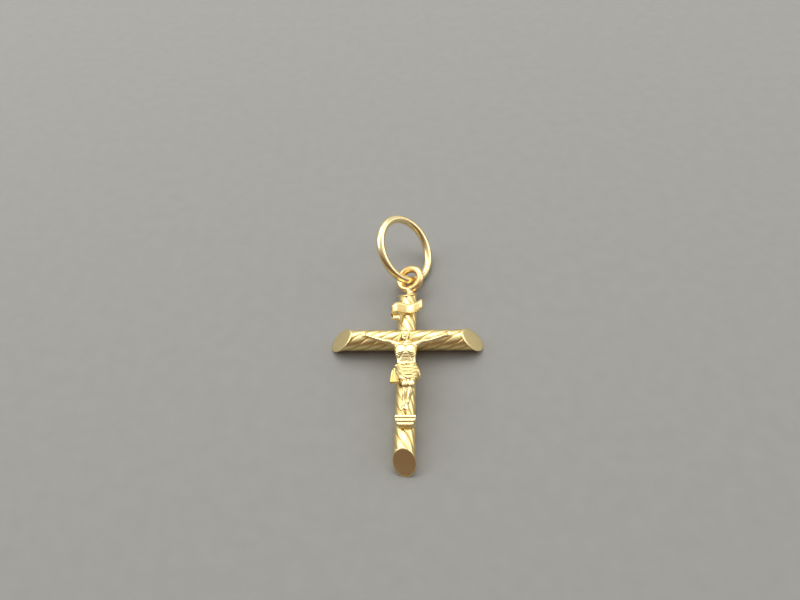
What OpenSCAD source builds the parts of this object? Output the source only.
/* [Cross] */
// Length of the crossbar, tip to tip along its back
crossbar_length = 20; // [16:0.5:26]
// Upright from the crossing down to its lower tip
upright_below = 17.7; // [15.5:0.1:24]
// Upright from the crossing up to its upper tip
upright_above = 9; // [8.2:0.1:12]
// Diameter of the crossbar tube over its strands
crossbar_d = 2.72; // [2.6:0.02:3.2]
// Diameter of the upright tube over its strands
upright_d = 2.5; // [2.3:0.02:2.58]
// Wall of both tubes under the deepest groove
tube_wall = 0.25; // [0.18:0.01:0.4]

/* [Rope twist] */
// Strands round each tube
strands = 6; // [4:1:8]
// Depth of the grooves between the strands
groove_depth = 0.1; // [0.04:0.01:0.16]
// Length of tube in one whole turn of a strand
twist_pitch = 10.5; // [9:0.5:16]

/* [Polished ends] */
// Angle of the side faces to the crossbar's axis
side_cut = 46; // [40:1:60]
// Angle of the lower face to the upright's axis
bottom_cut = 50; // [42:1:60]
// Angle of the upper face to the upright's axis
top_cut = 48; // [42:1:60]
// Turn of the lower face round the upright
bottom_turn = 10; // [-15:1:15]
// Turn of the upper face round the upright
top_turn = 12; // [-15:1:15]
// Thickness of the end plates
plate_t = 0.2; // [0.15:0.01:0.4]
// Lip of the end plates round the tubes
plate_lip = 0.11; // [0.02:0.01:0.16]

/* [Corpus] */
// Height of the figure from crown to toes
figure_height = 11.35; // [9.5:0.05:12.5]
// Span of the figure from palm to palm
figure_span = 10.9; // [9:0.1:12.5]
// Width of the figure across the loincloth
figure_width = 3.3; // [2.8:0.1:4]
// Height of the knees over the front of the upright
figure_relief = 1.55; // [1.2:0.05:2]
// Crown of the head over the crossing
crown_above = 0.1; // [-0.5:0.1:1]

/* [Title scroll] */
// Width of the scroll over its curls
scroll_width = 4.1; // [3.4:0.1:5]
// Height of its ribbon
scroll_height = 1.55; // [1.2:0.05:2]
// Thickness of its ribbon
scroll_t = 0.32; // [0.25:0.01:0.5]
// How far its curls rise and fall
scroll_curl = 0.6; // [0.4:0.05:0.9]
// Middle of the scroll over the crossing
scroll_above = 4.1; // [3.6:0.05:4.7]

/* [Footrest] */
// Width of the footrest along its upper edge
footrest_width = 2.5; // [2.2:0.05:2.8]
// Height of the footrest along the upright
footrest_height = 1.45; // [1:0.05:1.8]
// How far the footrest stands out from the upright
footrest_out = 0.7; // [0.5:0.05:1.1]
// Gap between the toes and the footrest
footrest_gap = 0.2; // [0.1:0.05:0.5]
// Place of its middle to the right of the upright's middle
footrest_offset = 0.1; // [-0.1:0.02:0.15]
// Depth of its two grooves
footrest_groove = 0.14; // [0.05:0.01:0.2]

/* [Eye and jump ring] */
// Wire of the soldered eye
eye_wire = 1; // [0.8:0.02:1.2]
// Length of the stem between the upper face and the eye
eye_stem = 0.2; // [0.15:0.05:0.6]
// Slope of the eye up from the cross
eye_tilt = 14; // [6:1:20]
// Twist of the eye round its stem
eye_twist = 21; // [15:1:27]
// Place of the stem to the right of the upright's middle
eye_offset = 0.3; // [0.1:0.02:0.4]
// Wire of the jump ring
ring_wire = 1.12; // [0.9:0.02:1.3]
// Diameter of the jump ring over its wire
ring_d = 10.1; // [9.2:0.1:11.5]
// Slope of the jump ring's plane as it leans
ring_slope = 48; // [44:1:52]
// Heading of its low side from the crossbar's right arm
ring_heading = -18; // [-24:1:-12]

/* [Fits] */
// Solder seam between pieces that are made apart
seam = 0.03; // [0.02:0.01:0.06]
// Play of the jump ring's wire in the eye
ring_play = 0.92; // [0.88:0.02:1.3]

/* [Hidden] */

// The tubes lie on the backs of their end plates
crossbar_r = crossbar_d / 2;
upright_r = upright_d / 2;
crossbar_axis_z = crossbar_r + plate_lip;
upright_axis_z = upright_r + plate_lip;
seat_z = upright_axis_z + upright_r;
crossbar_front_z = crossbar_axis_z + crossbar_r;

// A cut is [side, tip, slope, turn, plate radius], seen in a tube's own frame
side_slope = 1 / tan(side_cut);
left_cut = [-1, crossbar_length / 2, side_slope, 0, crossbar_axis_z];
right_cut = [1, crossbar_length / 2, side_slope, 0, crossbar_axis_z];
lower_cut = [-1, upright_below, 1 / tan(bottom_cut), bottom_turn, upright_axis_z];
upper_cut = [1, upright_above, 1 / tan(top_cut), top_turn, upright_axis_z];

// Reach of the bores and of what is cleared for the tubes, past every tip
tube_reach = 2 * max(upright_below, upright_above, crossbar_length);

// Corners of a strand's section, steps of its helix, and facets of what is hulled
STRAND_POINTS = 6;
HELIX_STEP = 15;
FIGURE_FN = 16;
HALVINGS = 24;
around = strands * STRAND_POINTS;

// Tables of the figure, with lengths as shares of its named sizes.
// Columns: across and thick as shares of figure_width (an arm's across, of half the span),
// down as a share of figure_height under the crown, out as a share of figure_relief.
// The head, hair, neck and arms stand on the crossbar's front, the rest on the upright's.
HEAD = [
    // across, down, out, thick
    [0.000, 0.056, 0.38, 0.19],
    [-0.030, 0.112, 0.52, 0.13]
];
NECK = [
    [-0.010, 0.141, 0.19, 0.16],
    [-0.010, 0.176, 0.15, 0.21]
];
HAIR_LEFT = [
    [-0.160, 0.070, 0.25, 0.10],
    [-0.210, 0.140, 0.18, 0.075]
];
HAIR_RIGHT = [
    [0.130, 0.070, 0.25, 0.10],
    [0.170, 0.135, 0.18, 0.07]
];
ARM = [
    [0.210, 0.165, 0.20, 0.115],
    [0.600, 0.105, 0.18, 0.088],
    [0.890, 0.038, 0.13, 0.060],
    [1.000, 0.022, 0.11, 0.068],
    [1.065, 0.010, 0.06, 0.045]
];
LEG_LEFT = [
    [-0.090, 0.564, 0.45, 0.165],
    [0.006, 0.692, 0.71, 0.13],
    [0.000, 0.775, 0.50, 0.12],
    [-0.006, 0.897, 0.28, 0.08],
    [0.010, 0.982, 0.33, 0.06]
];
LEG_RIGHT = [
    [0.270, 0.564, 0.45, 0.165],
    [0.236, 0.692, 0.71, 0.13],
    [0.182, 0.775, 0.50, 0.12],
    [0.120, 0.892, 0.33, 0.08],
    [0.060, 0.966, 0.52, 0.06]
];
LEG_WEB = [
    [0.110, 0.564, 0.34, 0.15],
    [0.120, 0.692, 0.56, 0.14],
    [0.090, 0.790, 0.30, 0.12],
    [0.045, 0.930, 0.20, 0.08]
];
BELT = [
    [-0.330, 0.437, 0.27, 0.085],
    [0.030, 0.437, 0.66, 0.085],
    [0.390, 0.424, 0.29, 0.085]
];
HIP = [
    [0.340, 0.467, 0.29, 0.12],
    [0.410, 0.546, 0.22, 0.145]
];
DRAPE = [
    [-0.300, 0.476, 0.26, 0.12],
    [-0.420, 0.564, 0.19, 0.135],
    [-0.425, 0.608, 0.16, 0.11]
];
TRUNK = [
    // across, down, out, half width, half height, half depth as a share of figure_relief
    [-0.010, 0.180, 0.34, 0.34, 0.10, 0.34],
    [-0.040, 0.226, 0.38, 0.45, 0.20, 0.42],
    [-0.010, 0.300, 0.41, 0.41, 0.18, 0.38],
    [0.020, 0.388, 0.32, 0.36, 0.15, 0.34],
    [0.050, 0.485, 0.33, 0.39, 0.21, 0.38]
];
LOINCLOTH = [
    [0.030, 0.476, 0.38, 0.40, 0.17, 0.42],
    [0.106, 0.581, 0.46, 0.40, 0.15, 0.40]
];

// Path of the scroll's ribbon.
// Columns: across as a share of scroll_width, up and tall as shares of scroll_height, out of scroll_curl
RIBBON = [
    [-0.215, -0.93, 0.10, 0.46],
    [-0.350, -0.88, 0.05, 0.56],
    [-0.452, -0.68, 0.30, 0.68],
    [-0.440, -0.38, 0.98, 0.82],
    [-0.320, -0.16, 1.15, 0.95],
    [-0.160, -0.04, 0.55, 1.00],
    [0.020, 0.00, 0.02, 1.00],
    [0.190, 0.00, 0.05, 1.00],
    [0.340, 0.06, 0.50, 0.96],
    [0.455, 0.26, 0.80, 0.85],
    [0.500, 0.44, 0.20, 0.75],
    [0.420, 0.56, -0.40, 0.65]
];
RIBBON_STEPS = 3;
// Rounding of the ribbon's edges as a share of its thickness
RIBBON_EDGE = 0.3;

// Outline of the footrest: half widths as shares of half its width, with depths down it.
// Columns: half width, down as a share of footrest_height
FOOTREST_OUTLINE = [
    [1.00, 0.00],
    [0.98, 0.34],
    [0.80, 0.72],
    [0.56, 1.00]
];
// Its front from the top down.
// Columns: down as a share of footrest_height, back as a share of footrest_out, grooved or not
FOOTREST_FRONT = [
    [0.00, 0.05, 0],
    [0.14, 0.00, 0],
    [0.33, 0.06, 1],
    [0.50, 0.03, 0],
    [0.67, 0.16, 1],
    [0.84, 0.16, 0],
    [1.00, 0.34, 0]
];
// Height at which its flanks end, as a share of the upright's radius over the upright's axis
FOOTREST_FLANK = 0.35;

// The eye's middle stands on a stem over the upper face
eye_hole = ring_wire + ring_play;
eye_r = (eye_hole + eye_wire) / 2;
stem_foot = [eye_offset, upright_above - upright_axis_z / tan(top_cut), upright_axis_z];
stem_way = [0, cos(eye_tilt), sin(eye_tilt)];
eye_middle = stem_foot + (eye_stem + eye_wire / 2 + eye_r) * stem_way;
STEM_SHARE = 0.8;

// The jump ring's wire hangs toward the stem by this share of its play; its low side is on the floor
RING_HANG = 0.25;
ring_r = (ring_d - ring_wire) / 2;
threaded = eye_middle - RING_HANG * ring_play * stem_way;
ring_level = [-sin(ring_heading), cos(ring_heading), 0];
ring_down = [
    cos(ring_heading) * cos(ring_slope),
    sin(ring_heading) * cos(ring_slope),
    -sin(ring_slope)
];
ring_dip = asin(1 - (threaded.z - ring_wire / 2) / (ring_r * sin(ring_slope)));
ring_middle = threaded + ring_r * (cos(ring_dip) * ring_level - sin(ring_dip) * ring_down);

// The origin is under the middle of the whole pendant
ring_lie = sqrt(1 - pow(sin(ring_heading) * sin(ring_slope), 2));
reach_above = ring_middle.y + ring_r * ring_lie + ring_wire / 2;
middle_y = (reach_above - upright_below) / 2;

function cut_side(cut) = cut[0];
function cut_tip(cut) = cut[1];
function cut_slope(cut) = cut[2];
function cut_turn(cut) = cut[3];
function plate_r(cut) = cut[4];

// A tube's outer surface: the point of line j of its section, at height a along its axis
function strand_point(d, j, a) =
    let (
        turn = 360 * j / around - 360 * a / twist_pitch,
        phase = 2 * (j % STRAND_POINTS) / STRAND_POINTS - 1,
        r = d / 2 - groove_depth * phase * phase
    ) [r * cos(turn), r * sin(turn), a];

// Height along the axis at which a cut, set back by some depth under its face, takes a point
function cut_height(cut, back, p) =
    cut_side(cut) * (
        cut_tip(cut) - back * norm([cut_slope(cut), 1])
        - cut_slope(cut) * (p.x * sin(cut_turn(cut)) + p.y * cos(cut_turn(cut)) + plate_r(cut))
    );

// Height at which a helical line meets a cut, found by halving
function meets(cut, back, d, j, near, far, left) =
    let (
        mid = (near + far) / 2,
        past = cut_side(cut) * (mid - cut_height(cut, back, strand_point(d, j, mid))) > 0
    )
    left == 0 ? mid
    : past ? meets(cut, back, d, j, near, mid, left - 1)
    : meets(cut, back, d, j, mid, far, left - 1);

function line_end(cut, back, d, j) =
    meets(cut, back, d, j, 0, cut_side(cut) * cut_tip(cut), HALVINGS);

// Faces over rings of points, closed at each end by a fan round a last and first middle point
function skin_faces(rings, sides) =
    let (low = rings * sides, high = low + 1, top = (rings - 1) * sides)
    concat(
        [for (i = [0:rings - 2], j = [0:sides - 1])
            let (k = (j + 1) % sides)
            [i * sides + j, (i + 1) * sides + j, (i + 1) * sides + k]],
        [for (i = [0:rings - 2], j = [0:sides - 1])
            let (k = (j + 1) % sides)
            [i * sides + j, (i + 1) * sides + k, i * sides + k]],
        [for (j = [0:sides - 1]) [low, j, (j + 1) % sides]],
        [for (j = [0:sides - 1]) [high, top + (j + 1) % sides, top + j]]
    );

// Points between the rows of a table, on a smooth curve through them
function between(rows, s) =
    let (
        i = min(floor(s), len(rows) - 2),
        f = s - i,
        a = rows[max(i - 1, 0)],
        b = rows[i],
        c = rows[i + 1],
        d = rows[min(i + 2, len(rows) - 1)]
    ) b + f * (c - a) / 2 + f * f * (2 * a - 5 * b + 4 * c - d) / 2
        + f * f * f * (3 * b - a - 3 * c + d) / 2;

// A point of the figure, from a row of its tables and the height of the metal that it stands on
function body_point(row, width, foot_z) = [
    row[0] * width,
    crown_above - row[1] * figure_height,
    foot_z + row[2] * figure_relief
];

module along_crossbar() {
    translate([0, 0, crossbar_axis_z])
        rotate([90, 0, 90])
            children();
}

module along_upright() {
    translate([0, 0, upright_axis_z])
        rotate([90, 0, 180])
            children();
}

// Where the pendant's pieces are drawn round the crossing, this sets the origin under its middle
module placed() {
    translate([0, -middle_y, 0])
        children();
}

// The solid of a twisted tube between two cuts, with no bore
module twisted_bar(d, low_cut, high_cut, back) {
    steps = ceil((cut_tip(low_cut) + cut_tip(high_cut)) / twist_pitch * 360 / HELIX_STEP);
    ends = [for (j = [0:around - 1])
        [line_end(low_cut, back, d, j), line_end(high_cut, back, d, j)]];
    middles = [
        [0, 0, cut_height(low_cut, back, [0, 0])],
        [0, 0, cut_height(high_cut, back, [0, 0])]
    ];
    rings = [for (i = [0:steps], j = [0:around - 1])
        strand_point(d, j, ends[j][0] + (ends[j][1] - ends[j][0]) * i / steps)];
    polyhedron(concat(rings, middles), skin_faces(steps + 1, around));
}

// Sets children on a cut's outer face, with +Z out of the metal
module on_face(cut) {
    mirror([0, 0, cut_side(cut) < 0 ? 1 : 0])
        translate([0, 0, cut_tip(cut) - cut_slope(cut) * plate_r(cut)])
            rotate([0, 0, -cut_turn(cut)])
                rotate([-atan(cut_slope(cut)), 0, 0])
                    children();
}

// An oval plate: what lies under a cut's face within the round of the lip
module end_plate(cut) {
    reach = 6 * plate_r(cut);
    intersection() {
        cylinder(r = plate_r(cut), h = 2 * cut_tip(cut) + reach, center = true, $fn = 64);
        on_face(cut)
            translate([-reach / 2, -reach / 2, -plate_t])
                cube([reach, reach, plate_t]);
    }
}

module tube_space(clearance) {
    along_upright()
        cylinder(r = upright_r + clearance, h = tube_reach, center = true, $fn = 64);
    along_crossbar()
        cylinder(r = crossbar_r + clearance, h = tube_reach, center = true, $fn = 64);
}

// The space of a cut's plate and of the tube behind it, for what lies over the crossbar's ends
module lip_space(cut, clearance) {
    behind = plate_t + clearance;
    translate([0, 0, cut_side(cut) * cut_tip(cut)])
        cylinder(
            r = plate_r(cut) + clearance,
            h = 2 * (cut_slope(cut) * 2 * plate_r(cut) + behind * norm([cut_slope(cut), 1])),
            center = true,
            $fn = 64
        );
}

// A limb: round lengths hulled from row to row of its table
module limb(table, width, foot_z) {
    for (i = [0:len(table) - 2])
        hull()
            for (row = [table[i], table[i + 1]])
                translate(body_point(row, width, foot_z))
                    sphere(r = row[3] * figure_width, $fn = FIGURE_FN);
}

// A broad form: oval lengths hulled from row to row of its table
module broad(table) {
    for (i = [0:len(table) - 2])
        hull()
            for (row = [table[i], table[i + 1]])
                translate(body_point(row, figure_width, seat_z))
                    scale([row[3] * figure_width, row[4] * figure_width, row[5] * figure_relief])
                        sphere(r = 1, $fn = FIGURE_FN);
}

module cross() {
    bore_depth = groove_depth + tube_wall;
    color("gold")
        placed()
            difference() {
                union() {
                    along_upright()
                        twisted_bar(upright_d, lower_cut, upper_cut, plate_t + seam);
                    along_crossbar()
                        twisted_bar(crossbar_d, left_cut, right_cut, plate_t + seam);
                }
                along_upright()
                    cylinder(r = upright_r - bore_depth, h = tube_reach, center = true, $fn = 64);
                along_crossbar()
                    cylinder(r = crossbar_r - bore_depth, h = tube_reach, center = true, $fn = 64);
            }
}

module left_end_plate() {
    color("khaki")
        placed()
            along_crossbar()
                end_plate(left_cut);
}

module right_end_plate() {
    color("khaki")
        placed()
            along_crossbar()
                end_plate(right_cut);
}

module top_end_plate() {
    color("khaki")
        placed()
            along_upright()
                end_plate(upper_cut);
}

module bottom_end_plate() {
    color("peru")
        placed()
            along_upright()
                end_plate(lower_cut);
}

module corpus() {
    half_span = figure_span / 2;
    color("gold")
        placed()
            difference() {
                union() {
                    for (table = [HEAD, NECK, HAIR_LEFT, HAIR_RIGHT])
                        limb(table, figure_width, crossbar_front_z);
                    for (reach = [-half_span, half_span])
                        limb(ARM, reach, crossbar_front_z);
                    for (table = [LEG_LEFT, LEG_RIGHT, LEG_WEB, BELT, HIP, DRAPE])
                        limb(table, figure_width, seat_z);
                    broad(TRUNK);
                    broad(LOINCLOTH);
                }
                tube_space(seam);
                along_crossbar()
                    for (cut = [left_cut, right_cut])
                        lip_space(cut, seam);
            }
}

module title_scroll() {
    rows = (len(RIBBON) - 1) * RIBBON_STEPS + 1;
    edge = RIBBON_EDGE * scroll_t;
    rings = [for (i = [0:rows - 1])
        let (
            s = i / RIBBON_STEPS,
            row = between(RIBBON, s),
            ahead = between(RIBBON, min(s + 0.1, len(RIBBON) - 1)),
            behind = between(RIBBON, max(s - 0.1, 0)),
            way = [(ahead[0] - behind[0]) * scroll_width, (ahead[2] - behind[2]) * scroll_curl],
            face = [-way.y, way.x] / norm(way),
            half_t = scroll_t / 2,
            half_h = row[3] * scroll_height / 2,
            section = [
                [half_t - edge, -half_h],
                [edge - half_t, -half_h],
                [-half_t, edge - half_h],
                [-half_t, half_h - edge],
                [edge - half_t, half_h],
                [half_t - edge, half_h],
                [half_t, half_h - edge],
                [half_t, edge - half_h]
            ]
        )
        for (p = section) [
            row[0] * scroll_width + p.x * face.x,
            scroll_above + row[1] * scroll_height + p.y,
            seat_z + seam + half_t + row[2] * scroll_curl + p.x * face.y
        ]];
    sides = 8;
    middles = [for (i = [0, rows - 1])
        (rings[i * sides] + rings[i * sides + 4]) / 2];
    color("gold")
        placed()
            polyhedron(concat(rings, middles), skin_faces(rows, sides));
}

module footrest() {
    top_y = crown_above - figure_height - footrest_gap;
    half = footrest_width / 2;
    base_z = upright_axis_z + FOOTREST_FLANK * upright_r;
    front_z = seat_z + footrest_out;
    front = [for (row = FOOTREST_FRONT)
        [-row[0] * footrest_height, front_z - row[1] * footrest_out - row[2] * footrest_groove]];
    right = [for (row = FOOTREST_OUTLINE) [row[0] * half, -row[1] * footrest_height]];
    left = [for (i = [len(right) - 1:-1:0]) [-right[i].x, right[i].y]];
    color("gold")
        placed()
            difference() {
                intersection() {
                    translate([footrest_offset, top_y, 0])
                        rotate([90, 0, 90])
                            linear_extrude(2 * footrest_width, center = true)
                                polygon(concat(front, [[-footrest_height, base_z], [0, base_z]]));
                    translate([footrest_offset, top_y, 0])
                        linear_extrude(front_z)
                            polygon(concat(left, right));
                }
                tube_space(seam);
            }
}

module top_eye() {
    stem_reach = upright_r + eye_stem + eye_wire / 2;
    color("sandybrown")
        placed()
            difference() {
                union() {
                    translate(eye_middle)
                        rotate([eye_tilt, 0, 0])
                            rotate([0, -eye_twist, 0])
                                rotate_extrude($fn = 48)
                                    translate([eye_r, 0])
                                        circle(d = eye_wire, $fn = 24);
                    translate(stem_foot)
                        rotate([eye_tilt - 90, 0, 0])
                            translate([0, 0, -upright_r])
                                cylinder(d = STEM_SHARE * eye_wire, h = stem_reach, $fn = 32);
                }
                along_upright()
                    on_face(upper_cut)
                        translate([-upright_d, -upright_d, seam - 2 * upright_d])
                            cube(2 * upright_d);
            }
}

module jump_ring() {
    color("gold")
        placed()
            translate(ring_middle)
                rotate([0, 0, ring_heading])
                    rotate([0, ring_slope, 0])
                        rotate_extrude($fn = 96)
                            translate([ring_r, 0])
                                circle(d = ring_wire, $fn = 32);
}

cross();
left_end_plate();
right_end_plate();
top_end_plate();
bottom_end_plate();
corpus();
title_scroll();
footrest();
top_eye();
jump_ring();
